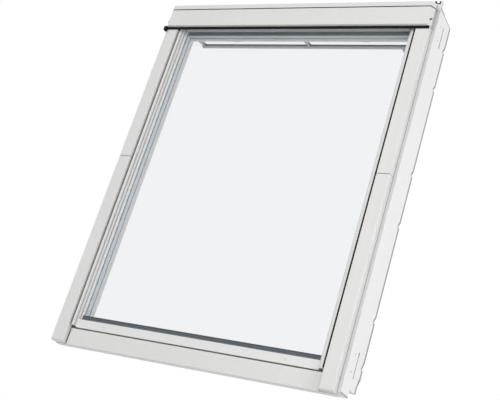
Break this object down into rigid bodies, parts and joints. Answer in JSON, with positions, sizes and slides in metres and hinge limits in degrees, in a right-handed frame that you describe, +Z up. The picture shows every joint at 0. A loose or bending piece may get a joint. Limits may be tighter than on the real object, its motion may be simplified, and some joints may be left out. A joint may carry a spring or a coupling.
{
  "type": "roof skylight",
  "caption": "Centre-pivot roof skylight: white frame with folded covers and hood, glazed sash turning on curved hinge tracks, room-side control bar with vent flap.",
  "frame": {"origin": "on the sash's pivot axis, midway between the frame's sides, in the front plane of the side covers", "axes": "+X across the window to the right as seen from outside, +Y to the room, +Z up the slope"},
  "size_m": [0.78, 0.148, 1.0058],
  "materials": {
    "white_plastic": "white moulded finish, fine grain",
    "lacquered_sheet": "off-white lacquer on folded sheet",
    "glass": "clear float glass",
    "spacer": "grey coated hollow bar",
    "rubber": "black extruded gasket",
    "steel": "zinc plated",
    "zinc": "pressed and plated hinge metal",
    "grey_plastic": "grey moulding",
    "bar": "satin anodised"
  },
  "bodies": {
    "frame": {"frame_jamb_left": "white_plastic", "frame_jamb_right": "white_plastic", "frame_head": "white_plastic", "frame_sill": "white_plastic", "hinge_track_left": "zinc", "hinge_track_right": "zinc", "hinge_track_screws": "steel", "upper_cover_left": "lacquered_sheet", "upper_cover_right": "lacquered_sheet", "upper_cover_screws": "steel", "hood": "lacquered_sheet", "hood_cap": "lacquered_sheet", "hood_gasket": "rubber", "hood_screws": "steel", "corner_posts": "lacquered_sheet", "notch_gaskets": "rubber", "sill_cover": "lacquered_sheet", "sill_cover_screws": "steel", "sill_end_seals": "rubber", "striker_plate": "steel", "bolt_bush_upper": "grey_plastic", "bolt_bush_lower": "grey_plastic"},
    "sash": {"sash_stile_left": "white_plastic", "sash_stile_right": "white_plastic", "sash_top_rail": "white_plastic", "sash_bottom_rail": "white_plastic", "outer_pane": "glass", "inner_pane": "glass", "spacer_bar": "spacer", "edge_seal": "rubber", "glazing_tape": "rubber", "glazing_gasket": "rubber", "sill_strip_gasket": "rubber", "glazing_cover_left": "lacquered_sheet", "glazing_cover_right": "lacquered_sheet", "glazing_cover_top": "lacquered_sheet", "glazing_cover_bottom": "lacquered_sheet", "glazing_cover_screws": "steel", "lower_cover_left": "lacquered_sheet", "lower_cover_right": "lacquered_sheet", "lower_cover_screws": "steel", "sash_gasket_left": "rubber", "sash_gasket_right": "rubber", "hinge_shoe_left": "zinc", "hinge_shoe_right": "zinc", "hinge_shoe_screws": "steel", "flap_clip_left": "grey_plastic", "flap_clip_right": "grey_plastic", "bolt_housing": "grey_plastic"},
    "flap": {"vent_flap": "white_plastic", "flap_gasket": "rubber", "bar_arm_left": "bar", "bar_arm_centre": "bar", "bar_arm_right": "bar", "control_bar": "bar", "bar_cap_left": "grey_plastic", "bar_cap_right": "grey_plastic"},
    "latch": {"latch_tongue": "steel"},
    "bolt": {"barrel_bolt": "steel"}
  },
  "joints": [
    {"name": "sash_pivot", "type": "hinge", "parent": "frame", "child": "sash", "pos_m": [0, 0, 0], "axis": [-1, 0, 0], "range_deg": [0, 160]},
    {"name": "flap_hinge", "type": "hinge", "parent": "sash", "child": "flap", "pos_m": [0, 0.064, 0.41], "axis": [-1, 0, 0], "range_deg": [0, 35]},
    {"name": "latch_slide", "type": "slide", "parent": "sash", "child": "latch", "axis": [0, 0, -1], "range_m": [0, 0.012]},
    {"name": "bolt_slide", "type": "slide", "parent": "sash", "child": "bolt", "axis": [1, 0, 0], "range_m": [0, 0.015]}
  ],
  "couplings": [
    {"joint": "latch_slide", "follows": "flap_hinge", "m_per_rad": 0.018}
  ]
}
